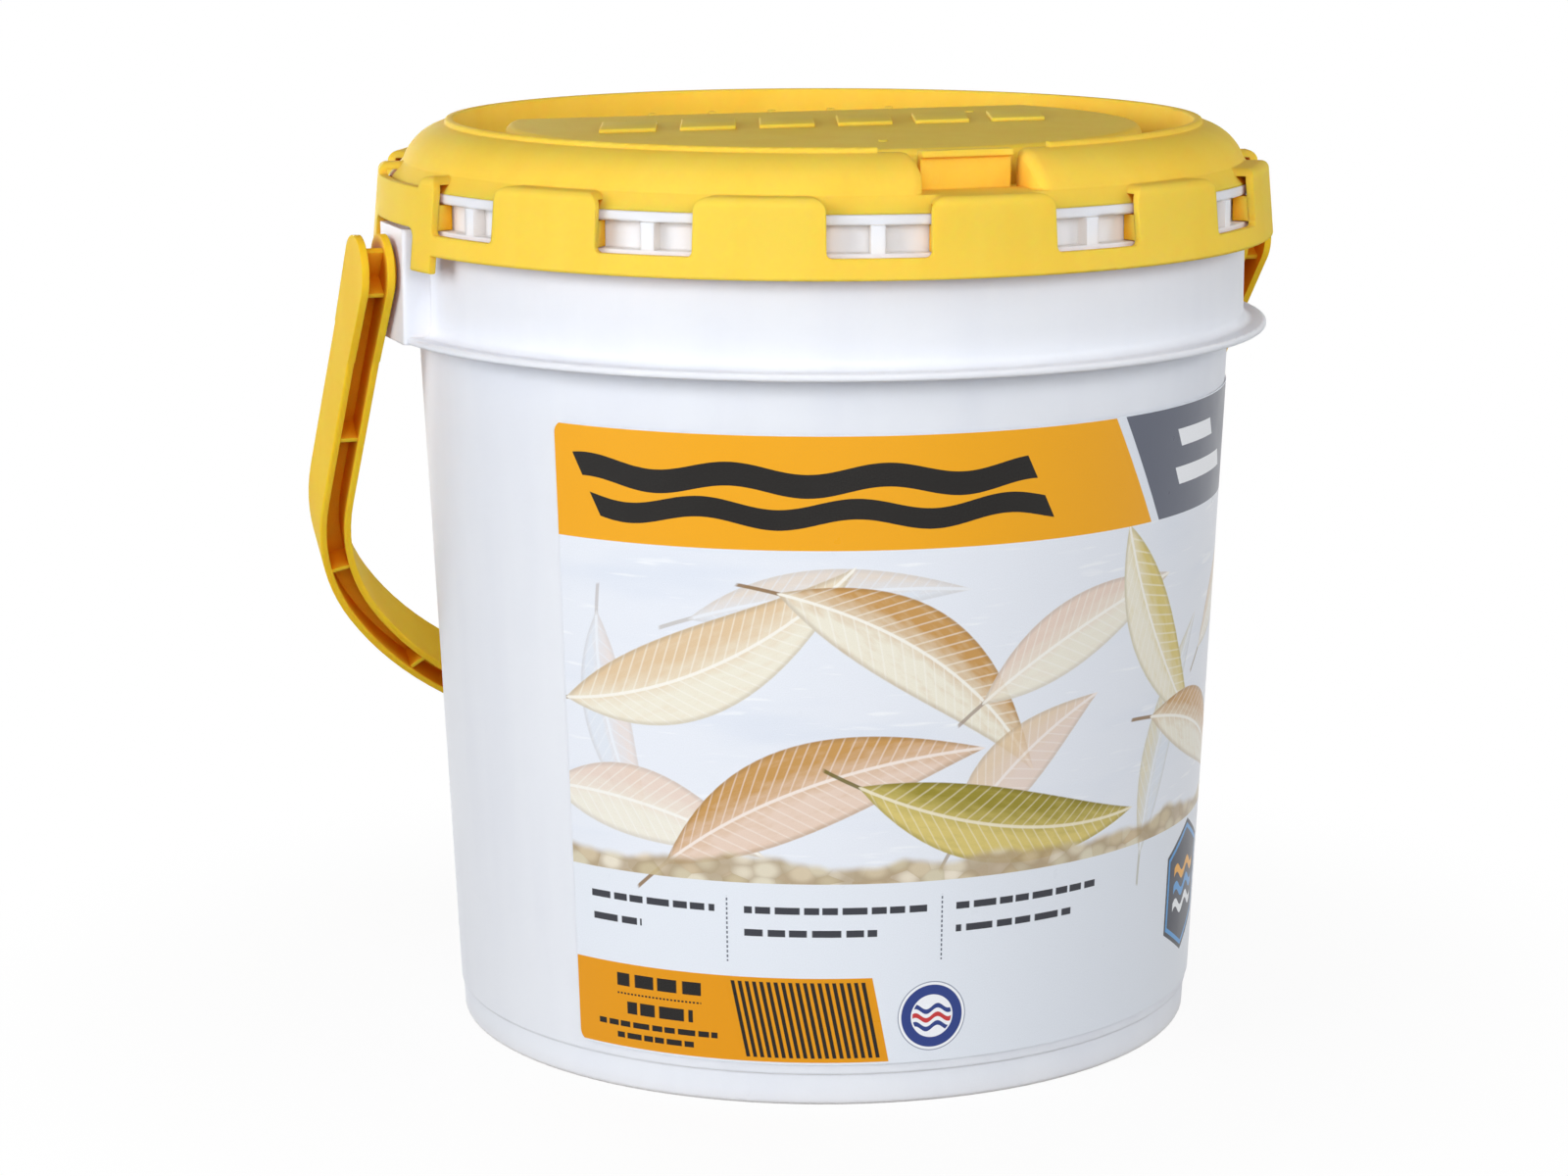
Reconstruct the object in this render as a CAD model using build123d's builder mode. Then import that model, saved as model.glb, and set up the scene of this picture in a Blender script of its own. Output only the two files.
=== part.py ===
from build123d import *
from math import asin, atan2, cos, degrees, hypot, pi, radians, sin, sqrt
import os

# A lidded bait bucket: a tapered pail, a windowed snap lid with a clip plate and a hose
# hole, a swinging bail handle and a wrap label. Millimetres, +Z up. The origin is the
# centre of the foot's rest plane, +X runs along the bail's pivots and -Y is the clip side.

os.makedirs("parts", exist_ok=True)

# Bucket: the tapered wall, its foot and its floor
foot_radius = 103.5  # outer radius of the wall at the rest plane
wall_top_radius = 112.6  # outer radius of the wall where it meets the flange
wall_height = 195.2  # rest plane to the underside of the flange
wall = 1.9  # moulded wall
foot_wall = 2.6  # thickness of the ring that the bucket stands on
foot_height = 5.0  # clear height under the floor
foot_round = 1.2
foot_step = 0.5  # the faint step round the foot
foot_step_height = 8.5
floor_wall = 2.2
floor_round = 2.5

# Bucket: the stop flange, the neck and the rim
flange_wall = 2.0
flange_overhang = 10.4  # out from the wall
flange_round = 0.8
neck_step = 4.0  # the neck stands out this far from the wall
neck_height = 31.8  # underside of the flange to the top of the lower ledge
neck_round = 2.5
ledge_wall = 1.6
ledge_overhang = 4.0  # out from the neck
rim_rise = 9.7  # top of the ledge to the top of the rim
rim_wall = 2.7
rim_overhang = 3.4  # out from the neck
rim_round = 0.6
rib_width = 3.7  # upright ribs between the ledge and the rim
rib_depth = 2.8

# Ears and pivots
pivot_rise = 18.8  # underside of the flange to the pivots' axis
ear_depth = 6.9  # out from the neck
ear_half_width = 12.0
ear_wall = 2.2
ear_round = 1.0
ear_under_arch = 1.2  # clearance between an ear and the skirt over it
pin_radius = 4.5
pin_clearance = 0.08
pin_head_radius = 5.4
pin_head_length = 1.5
pin_head_gap = 0.3
boss_radius = 7.0
boss_gap = 0.4

# Lid: the windowed skirt
window_first = 20.0  # degrees from the pivot axis to the first window
window_step = 28.0
windows_each_way = 3
window_width = 26.5
window_sill = 5.5  # height of a window's lower edge over the skirt's edge
window_round = 1.5
pier_round = 3.6  # rounding of a pier's upper corners
ear_window_width = 41.5  # the low window over each ear
ear_window_depth = 3.2  # the shoulder's top down to that window's lower edge
ear_window_round = 0.8
ear_pier_round = 2.2
skirt_wall = 2.0
skirt_round = 0.6  # rounding of the skirt's lower edges
skirt_height = 20.4  # the skirt's edge to the top of the shoulder
skirt_flare = 1.8  # the skirt's edge stands out this far past the shoulder
skirt_gap = 0.6  # clearance between the shoulder's inside and the rim
shoulder_rise = 4.3  # top of the rim to the top of the shoulder
shoulder_round = 2.6
arch_rise = 6.6  # the skirt's edge to the underside of the arch over each ear
arch_round = 3.0
tab_drop = 4.6  # the locating tabs hang below the skirt
tab_near = 19.0  # from the pivot axis to a tab's near edge
tab_width = 10.7

# Lid: the dome, the channel and the raised middle
lid_wall = 2.0
dome_inset = 4.0  # the rim's edge in to the dome's foot
dome_run = 11.6  # the dome's foot in to the bead
dome_rise = 9.6  # the shoulder's top to the dome's top
dome_mid_in = 3.7  # a point that the dome's curve passes, in from its foot
dome_mid_up = 5.8  # and up from its foot
bead_width = 2.4
bead_height = 1.4
bead_round = 0.7
channel_drop = 1.0  # the shoulder's top down to the channel's floor
channel_draft = 0.6
channel_width = 13.0
platform_rise = 10.0  # the raised middle's height over the channel
platform_round = 2.4
platform_draft = 4.0  # degrees
platform_back = 42.0  # the axis to the straight back edge of the raised middle
pocket_ribs = 5
pocket_rib_pitch = 18.0
pocket_rib_wall = 1.6
pocket_rib_top = 0.4  # the ribs stand this far over the raised middle
pocket_rib_ridge = 1.2  # level length of a rib's top
pocket_rib_reach = 9.5  # a rib's foot runs this far back over the channel's floor
plug_depth = 8.5  # the ring that drops inside the bucket's mouth
plug_gap = 0.35  # running clearance of that ring in the mouth
seat_gap = 0.2  # the lid's seat ends this far inside the rim's edge

# Lid: the notch with its clip plate, and the hose hole
notch_half_width = 15.0
notch_flare = 7.0
notch_round = 2.4  # rounding of the notch's upper edges
bead_gap_half_width = 23.5
clip_side_gap = 2.6  # between the clip plate and each side of the notch
clip_wall = 2.2
clip_forward = 0.9  # the plate's front face, out from the bead's inner side
clip_rise = 0.9  # the plate's top over the raised middle
clip_lip = 1.5
clip_lip_height = 1.7
hose_hole_radius = 4.0
hose_hole_turn = 24.0  # degrees round from the clip plate

# Bail
bail_rest_gap = 0.6  # between the hanging bail's crown and the bucket's back
leg_gap = 1.5  # between an ear's face and the strap's inner face
strap_depth = 9.0
strap_width = 17.0
leg_length = 82.0
bend_radius = 93.0  # outer radius of each shoulder bend
bend_turn = 32.0  # degrees
strap_wall = 2.0
web_wall = 1.8
web_top = 7.5  # the web reaches this far over the pivot
strap_rib_wall = 1.4
strap_rib_first = 2.0
strap_ribs_each_side = 5
hub_radius = 9.8
hub_flare_length = 26.0
strap_round = 0.6

# Label
label_wall = 0.25
label_glue = 0.1  # thickness of the glue between the label and the wall
label_bottom_z = 11.6
label_top_margin = 15.0  # the label's top edge under the flange
label_left = 58.9  # degrees from the front round to the label's left edge
label_right = 100.0
label_round = 3.0

# Heights that follow from the sizes
flange_z = wall_height
pivot_z = flange_z + pivot_rise
ledge_z = flange_z + neck_height
rim_z = ledge_z + rim_rise
shoulder_z = rim_z + shoulder_rise
skirt_bottom_z = shoulder_z - skirt_height
window_sill_z = skirt_bottom_z + window_sill
arch_z = skirt_bottom_z + arch_rise
ear_top_z = arch_z - ear_under_arch
dome_top_z = shoulder_z + dome_rise
bead_z = dome_top_z + bead_height
channel_z = shoulder_z - channel_drop
platform_z = channel_z + platform_rise
clip_top_z = platform_z + clip_rise
label_top_z = flange_z - label_top_margin

# Radii that follow from the sizes
flange_radius = wall_top_radius + flange_overhang
neck_radius = wall_top_radius + neck_step
mouth_radius = neck_radius - wall
ledge_radius = neck_radius + ledge_overhang
rim_radius = neck_radius + rim_overhang
ear_reach = neck_radius + ear_depth
shoulder_radius = rim_radius + skirt_gap + skirt_wall
skirt_bottom_radius = shoulder_radius + skirt_flare
dome_foot_radius = rim_radius - dome_inset
bead_outer_radius = dome_foot_radius - dome_run
bead_inner_radius = bead_outer_radius - bead_width
platform_radius = bead_inner_radius - channel_draft - channel_width
clip_radius = bead_inner_radius + clip_forward
clip_half_width = notch_half_width - clip_side_gap
leg_span = ear_reach + leg_gap + strap_depth


def wall_radius(z):
    """Outer radius of the tapered wall at a height."""
    return foot_radius + (wall_top_radius - foot_radius) * z / flange_z


def near(shape, x, y, z=0):
    """The corner or edge of a shape that lies nearest to a point."""
    return shape.sort_by_distance(Vector(x, y, z))[0]


def upright(angle, radius=0.0):
    """A plane that faces outwards at an angle round the bucket, with local Y up."""
    out = Vector(cos(radians(angle)), sin(radians(angle)), 0)
    side = Vector(-out.Y, out.X, 0)
    return Plane(origin=out * radius, x_dir=side, z_dir=out)


def section(angle):
    """A plane through the axis at an angle, with local X outwards and local Y up."""
    out = Vector(cos(radians(angle)), sin(radians(angle)), 0)
    return Plane(origin=(0, 0, 0), x_dir=out, z_dir=(out.Y, -out.X, 0))


sides = (0, 180)
window_angles = [
    side + turn * (window_first + window_step * step)
    for side in sides
    for turn in (1, -1)
    for step in range(windows_each_way)
]

# The bucket
ear_inner = ear_reach - ear_wall
foot_inner = foot_radius - foot_step - foot_wall
floor_z = foot_height + floor_wall
inner_step_z = flange_z + wall / 2

with BuildPart() as bucket:
    with BuildSketch(Plane.XZ) as bucket_section:
        with BuildLine():
            Polyline(
                (foot_inner, 0),
                (foot_radius - foot_step, 0),
                (wall_radius(foot_step_height) - foot_step, foot_step_height),
                (wall_radius(foot_step_height), foot_step_height + foot_step),
                (wall_top_radius, flange_z),
                (flange_radius, flange_z),
                (flange_radius, flange_z + flange_wall),
                (neck_radius, flange_z + flange_wall),
                (neck_radius, ledge_z - ledge_wall),
                (ledge_radius, ledge_z - ledge_wall),
                (ledge_radius, ledge_z),
                (neck_radius, ledge_z),
                (neck_radius, rim_z - rim_wall),
                (rim_radius, rim_z - rim_wall),
                (rim_radius, rim_z),
                (mouth_radius, rim_z),
                (mouth_radius, inner_step_z + neck_step),
                (mouth_radius - neck_step, inner_step_z),
                (wall_radius(floor_z) - wall, floor_z),
                (0, floor_z),
                (0, foot_height),
                (foot_inner, foot_height),
                close=True,
            )
        make_face()
        fillet(near(bucket_section.vertices(), foot_radius - foot_step, 0), foot_round)
        fillet(near(bucket_section.vertices(), wall_radius(floor_z) - wall, floor_z), floor_round)
        fillet(near(bucket_section.vertices(), neck_radius, flange_z + flange_wall), neck_round)
        for height in (flange_z, flange_z + flange_wall):
            fillet(near(bucket_section.vertices(), flange_radius, height), flange_round)
        for height in (rim_z - rim_wall, rim_z):
            fillet(near(bucket_section.vertices(), rim_radius, height), rim_round)
    revolve(axis=Axis.Z)
    with BuildSketch(Plane.XY.offset(ledge_z)):
        for angle in window_angles:
            with PolarLocations(neck_radius + rib_depth / 2, 1, start_angle=angle):
                Rectangle(rib_depth + wall, rib_width)
    extrude(amount=rim_z - rim_wall - ledge_z)
    for side in sides:
        with BuildSketch(upright(side, mouth_radius + wall / 2)):
            with Locations((0, (flange_z + ear_top_z) / 2)):
                Rectangle(2 * ear_half_width, ear_top_z - flange_z)
        extrude(amount=ear_reach - mouth_radius - wall / 2)
        with BuildSketch(upright(side, neck_radius)):
            with Locations((0, (flange_z - wall + ear_top_z - ear_wall) / 2)):
                Rectangle(2 * (ear_half_width - ear_wall), ear_top_z - ear_wall - flange_z + wall)
        extrude(amount=ear_inner - neck_radius, mode=Mode.SUBTRACT)
        with BuildSketch(upright(side, neck_radius)):
            with Locations((0, pivot_z)):
                Circle(pin_radius + pin_clearance)
        extrude(amount=ear_reach - neck_radius, mode=Mode.SUBTRACT)
        for turn in (1, -1):
            corner = upright(side).from_local_coords(
                Vector(turn * ear_half_width, (flange_z + ear_top_z) / 2, ear_reach)
            )
            upright_edges = bucket.edges().filter_by(Axis.Z)
            fillet(near(upright_edges, corner.X, corner.Y, corner.Z), ear_round)

# The lid's skirt, with its windows, arches and locating tabs
tab_bottom_z = skirt_bottom_z - tab_drop
skirt_slope = (skirt_bottom_radius - shoulder_radius) / (shoulder_z - skirt_bottom_z)
tab_radius = skirt_bottom_radius + skirt_slope * tab_drop
tab_top_z = skirt_bottom_z + 2 * skirt_round
tab_top_radius = skirt_bottom_radius - 2 * skirt_round * skirt_slope
tab_far_angle = degrees(asin((tab_near + tab_width) / skirt_bottom_radius))
shoulder_under_z = shoulder_z - skirt_wall
cut_reach = skirt_bottom_radius - dome_foot_radius + 2 * skirt_wall

with BuildPart() as skirt:
    with BuildSketch(Plane.XZ) as skirt_section:
        with BuildLine():
            Polyline(
                (dome_foot_radius - skirt_wall, shoulder_z),
                (shoulder_radius, shoulder_z),
                (skirt_bottom_radius, skirt_bottom_z),
                (skirt_bottom_radius - skirt_wall, skirt_bottom_z),
                (shoulder_radius - skirt_wall, shoulder_under_z),
                (dome_foot_radius - skirt_wall, shoulder_under_z),
                close=True,
            )
        make_face()
        fillet(near(skirt_section.vertices(), shoulder_radius, shoulder_z), shoulder_round)
        for radius in (skirt_bottom_radius, skirt_bottom_radius - skirt_wall):
            fillet(near(skirt_section.vertices(), radius, skirt_bottom_z), skirt_round)
    revolve(axis=Axis.Z)
    for side in sides:
        with BuildSketch(section(side - tab_far_angle)) as tab_section:
            with BuildLine():
                Polyline(
                    (tab_top_radius, tab_top_z),
                    (tab_radius, tab_bottom_z),
                    (tab_radius - skirt_wall, tab_bottom_z),
                    (tab_top_radius - skirt_wall, tab_top_z),
                    close=True,
                )
            make_face()
            for radius in (tab_radius, tab_radius - skirt_wall):
                fillet(near(tab_section.vertices(), radius, tab_bottom_z), skirt_round)
        revolve(axis=Axis.Z, revolution_arc=2 * tab_far_angle)
        with BuildSketch(upright(side, dome_foot_radius + skirt_wall)) as arch:
            with Locations((0, arch_z - tab_drop * 2)):
                Rectangle(2 * tab_near, 4 * tab_drop)
            fillet(arch.vertices().group_by(Axis.Y)[-1], arch_round)
        extrude(amount=cut_reach, mode=Mode.SUBTRACT)
    windows = [
        (angle, window_width / 2, window_sill_z, pier_round, window_round)
        for angle in window_angles
    ]
    ear_sill_z = shoulder_z - ear_window_depth
    for side in sides:
        windows.append((side, ear_window_width / 2, ear_sill_z, ear_pier_round, ear_window_round))
    for angle, half, sill_z, top_round, corner_round in windows:
        with BuildSketch(upright(angle, dome_foot_radius - 3 * skirt_wall)) as window:
            pier_z = shoulder_z - top_round
            wide = half + top_round
            with BuildLine():
                Polyline((-half, pier_z), (-half, sill_z), (half, sill_z), (half, pier_z))
                RadiusArc((half, pier_z), (wide, shoulder_z), top_round)
                Polyline(
                    (wide, shoulder_z),
                    (wide, shoulder_z + skirt_wall),
                    (-wide, shoulder_z + skirt_wall),
                    (-wide, shoulder_z),
                )
                RadiusArc((-wide, shoulder_z), (-half, pier_z), top_round)
            make_face()
            fillet(window.vertices().group_by(Axis.Y)[0], corner_round)
        extrude(amount=cut_reach + 3 * skirt_wall, mode=Mode.SUBTRACT)


def on_notch_side(edge):
    """True for an edge that lies in one of the notch's two upright sides."""
    return abs(abs(edge.center().X) - notch_half_width) < notch_half_width / 1000


# The lid
seat_radius = rim_radius - seat_gap
plug_radius = mouth_radius - plug_gap
plug_inner = plug_radius - lid_wall
under_z = channel_z - lid_wall
notch_wall_turn = degrees(asin((notch_half_width + notch_flare + lid_wall) / dome_foot_radius))
front = -90.0

with BuildPart() as lid:
    with BuildSketch(Plane.XZ) as dome_section:
        with BuildLine():
            Polyline(
                (bead_inner_radius - channel_draft - lid_wall, under_z),
                (plug_inner, under_z),
                (plug_inner, rim_z - plug_depth),
                (plug_radius, rim_z - plug_depth),
                (plug_radius, rim_z),
                (seat_radius, rim_z),
                (dome_foot_radius, shoulder_z),
            )
            ThreePointArc(
                (dome_foot_radius, shoulder_z),
                (dome_foot_radius - dome_mid_in, shoulder_z + dome_mid_up),
                (bead_outer_radius, dome_top_z),
            )
            Polyline(
                (bead_outer_radius, dome_top_z),
                (bead_outer_radius, bead_z),
                (bead_inner_radius, bead_z),
                (bead_inner_radius - channel_draft, channel_z),
                (bead_inner_radius - channel_draft - lid_wall, channel_z),
                (bead_inner_radius - channel_draft - lid_wall, under_z),
            )
        make_face()
        for radius in (bead_inner_radius, bead_outer_radius):
            fillet(near(dome_section.vertices(), radius, bead_z), bead_round)
    revolve(axis=Axis.Z)
    # the hollow under the dome, which stops short of the notch
    hollow_top_z = bead_z - 2 * lid_wall
    with BuildSketch(section(front + notch_wall_turn)):
        with BuildLine():
            Polyline(
                (bead_inner_radius + lid_wall - channel_draft, under_z - lid_wall),
                (bead_inner_radius + lid_wall, hollow_top_z),
                (bead_inner_radius + 3 * lid_wall, hollow_top_z),
                (plug_inner, shoulder_z + lid_wall / 2),
                (plug_inner, under_z - lid_wall),
                close=True,
            )
        make_face()
    revolve(axis=Axis.Z, revolution_arc=360 - 2 * notch_wall_turn, mode=Mode.SUBTRACT)
    # the floor of the channel and the raised middle
    with BuildSketch(Plane.XY.offset(under_z)):
        Circle(bead_inner_radius)
    extrude(amount=lid_wall)
    with BuildSketch(Plane.XY.offset(channel_z)):
        Circle(platform_radius)
        with Locations((0, platform_back + platform_radius)):
            Rectangle(2 * platform_radius, 2 * platform_radius, mode=Mode.SUBTRACT)
    extrude(amount=platform_z - channel_z, taper=platform_draft)
    top_edges = lid.edges().filter_by_position(Axis.Z, platform_z - 0.01, platform_z + 0.01)
    fillet(top_edges, platform_round)
    with BuildSketch(Plane.XY.offset(under_z)):
        Circle(platform_radius - lid_wall)
        with Locations((0, platform_back - lid_wall + platform_radius)):
            Rectangle(2 * platform_radius, 2 * platform_radius, mode=Mode.SUBTRACT)
    extrude(amount=platform_z - channel_z, taper=platform_draft, mode=Mode.SUBTRACT)
    # the sloping ribs that hold the straight edge up from behind
    rib_top_z = platform_z + pocket_rib_top
    rib_front = platform_back - lid_wall / 2
    for number in range(pocket_ribs):
        x = (number - (pocket_ribs - 1) / 2) * pocket_rib_pitch
        with BuildSketch(Plane.YZ.offset(x)):
            with BuildLine():
                Polyline(
                    (rib_front, under_z),
                    (rib_front, rib_top_z),
                    (platform_back + pocket_rib_ridge, rib_top_z),
                    (platform_back + pocket_rib_reach, channel_z),
                    (platform_back + pocket_rib_reach, under_z),
                    close=True,
                )
            make_face()
        extrude(amount=pocket_rib_wall / 2, both=True)
    add(skirt.part)
    # the notch at the front, cut down to the shoulder
    notch_back = clip_radius - clip_wall - lid_wall
    with BuildSketch(Plane.XY.offset(shoulder_z)):
        with BuildLine():
            flare_start = dome_foot_radius - notch_flare
            wide = notch_half_width + notch_flare
            Polyline((wide, -2 * notch_back), (wide, -dome_foot_radius))
            RadiusArc((wide, -dome_foot_radius), (notch_half_width, -flare_start), notch_flare)
            Polyline(
                (notch_half_width, -flare_start),
                (notch_half_width, -notch_back),
                (-notch_half_width, -notch_back),
                (-notch_half_width, -flare_start),
            )
            RadiusArc((-notch_half_width, -flare_start), (-wide, -dome_foot_radius), notch_flare)
            Polyline((-wide, -dome_foot_radius), (-wide, -2 * notch_back), (wide, -2 * notch_back))
        make_face()
    extrude(amount=bead_z, mode=Mode.SUBTRACT)
    with BuildSketch(Plane.XY.offset(dome_top_z)):
        with Locations((0, -bead_outer_radius)):
            Rectangle(2 * bead_gap_half_width, 6 * bead_width)
    extrude(amount=bead_z, mode=Mode.SUBTRACT)
    low, high = dome_top_z - notch_round, dome_top_z + notch_round
    upper_edges = lid.edges().filter_by_position(Axis.Z, low, high)
    fillet([edge for edge in upper_edges if on_notch_side(edge)], notch_round)
    # the clip plate with its lip
    with BuildSketch(Plane.XY.offset(under_z)):
        with Locations((0, -clip_radius + clip_wall / 2)):
            Rectangle(2 * clip_half_width, clip_wall)
    extrude(amount=clip_top_z - under_z)
    with BuildSketch(Plane.XY.offset(clip_top_z - clip_lip_height)):
        with Locations((0, -clip_radius + clip_wall / 2 - clip_lip / 2)):
            Rectangle(2 * clip_half_width, clip_wall + clip_lip)
    extrude(amount=clip_lip_height)
    # the hose hole, in the channel's floor beside the clip plate
    channel_mid = (platform_radius + bead_inner_radius - channel_draft) / 2
    with BuildSketch(Plane.XY.offset(under_z)):
        with PolarLocations(channel_mid, 1, start_angle=front - hose_hole_turn):
            Circle(hose_hole_radius)
    extrude(amount=lid_wall, mode=Mode.SUBTRACT)

# The bail
crown_half_span = leg_span - bend_radius * (1 - cos(radians(bend_turn)))
crown_radius = crown_half_span / cos(radians(bend_turn))
bend_foot = leg_length + bend_radius * sin(radians(bend_turn))
crown_centre = -bend_foot + crown_radius * sin(radians(bend_turn))
bend_centre = leg_span - bend_radius
crown_reach = crown_radius - crown_centre - strap_depth
taper = (wall_top_radius - foot_radius) / wall_height
# the crown's nearer edge lies bail_rest_gap off the wall:
# lean_along * sin(lean) + lean_across * cos(lean) = lean_rest
lean_along = crown_reach + taper * strap_width / 2
lean_across = taper * crown_reach - strap_width / 2
lean_rest = bail_rest_gap + foot_radius + taper * pivot_z
bail_lean = degrees(asin(lean_rest / hypot(lean_along, lean_across)) - atan2(lean_across, lean_along))
back_up = Vector(0, cos(radians(bail_lean)), sin(radians(bail_lean)))
bail_plane = Plane(origin=(0, 0, pivot_z), x_dir=(1, 0, 0), z_dir=-back_up)


def bail_line(inset, top):
    """Half circle, bends and legs of the bail, a given depth in from its outer face."""
    foot = (leg_span - inset, -leg_length)
    left_foot = (-foot[0], foot[1])
    Line((foot[0], top), foot)
    CenterArc((bend_centre, -leg_length), bend_radius - inset, 0, -bend_turn)
    CenterArc((0, crown_centre), crown_radius - inset, -bend_turn, 2 * bend_turn - 180)
    CenterArc((-bend_centre, -leg_length), bend_radius - inset, 180 + bend_turn, -bend_turn)
    Line(left_foot, (left_foot[0], top))


def strap_outline(outer_inset, inner_inset, top):
    """The closed outline between two insets of the bail's line."""
    bail_line(outer_inset, top)
    bail_line(inner_inset, top)
    for way in (1, -1):
        Line((way * (leg_span - outer_inset), top), (way * (leg_span - inner_inset), top))


def rib_place(length):
    """Middle of the strap and its turn, at a length along the outer face from the pivot."""
    middle = strap_depth / 2
    bend_length = bend_radius * radians(bend_turn)
    if length <= leg_length:
        return leg_span - middle, -length, 0.0
    if length <= leg_length + bend_length:
        turn = (length - leg_length) / bend_radius
        reach = bend_radius - middle
        return bend_centre + reach * cos(turn), -leg_length - reach * sin(turn), -degrees(turn)
    turn = radians(bend_turn) + (length - leg_length - bend_length) / crown_radius
    reach = crown_radius - middle
    return reach * cos(turn), crown_centre - reach * sin(turn), -degrees(turn)


half_length = (
    leg_length
    + bend_radius * radians(bend_turn)
    + crown_radius * (pi / 2 - radians(bend_turn))
)
strap_rib_pitch = (half_length - strap_rib_first) / strap_ribs_each_side
hub_inner = leg_span - strap_depth

with BuildPart() as bail:
    for outer_inset, inner_inset, top, width in (
        (0, strap_wall, 0, strap_width),
        (strap_depth - strap_wall, strap_depth, 0, strap_width),
        (strap_wall / 2, strap_depth - strap_wall / 2, web_top, web_wall),
    ):
        with BuildSketch(bail_plane):
            with BuildLine():
                strap_outline(outer_inset, inner_inset, top)
            make_face()
        extrude(amount=width / 2, both=True)
        if width == strap_width:
            across = bail.edges(Select.LAST).group_by(Axis((0, 0, pivot_z), back_up))
            fillet(across[0] + across[-1], strap_round)
    with BuildSketch(bail_plane):
        for number in range(strap_ribs_each_side + 1):
            x, y, turn = rib_place(strap_rib_first + number * strap_rib_pitch)
            for way in (1, -1):
                with Locations(Location((way * x, y, 0), (0, 0, way * turn))):
                    Rectangle(strap_depth - strap_wall, strap_rib_wall)
    extrude(amount=(strap_width - strap_wall) / 2, both=True)
    for way in (1, -1):
        for face in (hub_inner, leg_span - strap_wall):
            start = face if way > 0 else -face - strap_wall
            hub_plane = Plane(origin=(start, 0, pivot_z), x_dir=back_up, z_dir=(1, 0, 0))
            with BuildSketch(hub_plane):
                Circle(hub_radius)
                with BuildLine():
                    Polyline(
                        (hub_radius, 0),
                        (strap_width / 2, -hub_flare_length),
                        (-strap_width / 2, -hub_flare_length),
                        (-hub_radius, 0),
                        close=True,
                    )
                make_face()
            extrude(amount=strap_wall)
        pin_plane = Plane(origin=(way * (hub_inner + strap_wall / 2), 0, pivot_z), z_dir=(-way, 0, 0))
        with BuildSketch(pin_plane):
            Circle(boss_radius)
        extrude(amount=hub_inner + strap_wall / 2 - ear_reach - boss_gap)
        with BuildSketch(pin_plane):
            Circle(pin_radius)
        extrude(amount=hub_inner + strap_wall / 2 - ear_inner + pin_head_gap)
        with BuildSketch(pin_plane.offset(hub_inner + strap_wall / 2 - ear_inner + pin_head_gap)):
            Circle(pin_head_radius)
        extrude(amount=pin_head_length)

# The wrap label, which lies on the wall
label_span = label_left + label_right
with BuildPart() as wrap_label:
    with BuildSketch(section(front - label_left)):
        with BuildLine():
            Polyline(
                (wall_radius(label_bottom_z) + label_glue, label_bottom_z),
                (wall_radius(label_bottom_z) + label_glue + label_wall, label_bottom_z),
                (wall_radius(label_top_z) + label_glue + label_wall, label_top_z),
                (wall_radius(label_top_z) + label_glue, label_top_z),
                close=True,
            )
        make_face()
    revolve(axis=Axis.Z, revolution_arc=label_span)
    short_edges = wrap_label.edges().filter_by(lambda edge: edge.length < 2 * label_wall)
    fillet(short_edges, label_round)

pieces = {"bucket": bucket, "lid": lid, "bail": bail, "wrap_label": wrap_label}
for name, piece in pieces.items():
    piece.part.label = name
    export_step(piece.part, f"parts/{name}.step")

brim_litres = 0.0
steps = 200
for step in range(steps):
    z = floor_z + (step + 0.5) * (rim_z - floor_z) / steps
    radius = wall_radius(z) - wall if z < flange_z else mouth_radius
    brim_litres += pi * radius**2 * (rim_z - floor_z) / steps / 1e6
print("brim volume in litres", round(brim_litres, 2))
print("rib pitch along the bail", round(strap_rib_pitch, 2))
print("lean of the hanging bail in degrees", round(bail_lean, 2))
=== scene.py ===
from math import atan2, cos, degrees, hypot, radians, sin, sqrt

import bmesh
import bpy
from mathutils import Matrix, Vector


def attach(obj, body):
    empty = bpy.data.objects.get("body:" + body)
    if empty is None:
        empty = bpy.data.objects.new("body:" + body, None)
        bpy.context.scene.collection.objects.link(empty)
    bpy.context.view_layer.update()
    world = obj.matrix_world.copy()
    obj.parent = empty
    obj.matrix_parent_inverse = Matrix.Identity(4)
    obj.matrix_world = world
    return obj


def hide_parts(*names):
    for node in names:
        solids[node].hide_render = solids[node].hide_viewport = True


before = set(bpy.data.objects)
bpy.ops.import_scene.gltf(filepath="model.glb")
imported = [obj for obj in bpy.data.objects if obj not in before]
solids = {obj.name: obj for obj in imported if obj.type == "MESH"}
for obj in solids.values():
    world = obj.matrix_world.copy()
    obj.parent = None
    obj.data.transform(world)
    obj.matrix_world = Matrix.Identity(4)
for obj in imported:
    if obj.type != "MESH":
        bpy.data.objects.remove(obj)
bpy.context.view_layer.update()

# %% [markdown]
# # A bait bucket
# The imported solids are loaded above: a white pail, a yellow lid, a yellow bail and a wrap
# label. Their shapes are already right, so this lesson keeps three of them as they are and
# spends its time on finishes. Only the label is made again, because a print needs a UV map,
# and the lid gets a few raised marks and the ends of its catch beads.

MM = 0.001

# %% [markdown]
# ## A small helper for nodes
# A procedural material is a net of nodes, and so is the world around the bucket. Joining
# nodes one by one is slow to read, so the class Net adds a node, joins its sockets and gives
# the result back. Paint is such a net for one material. Colours are written in the 0 to 255
# numbers of a picture editor and turned into the linear light that Blender mixes.


# %% Colours and nodes
def linear(value):
    """One number of a screen colour as light, by the curve that every screen follows."""
    return ((value / 255 + 0.055) / 1.055) ** 2.4 if value > 10 else value / 3294


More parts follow.
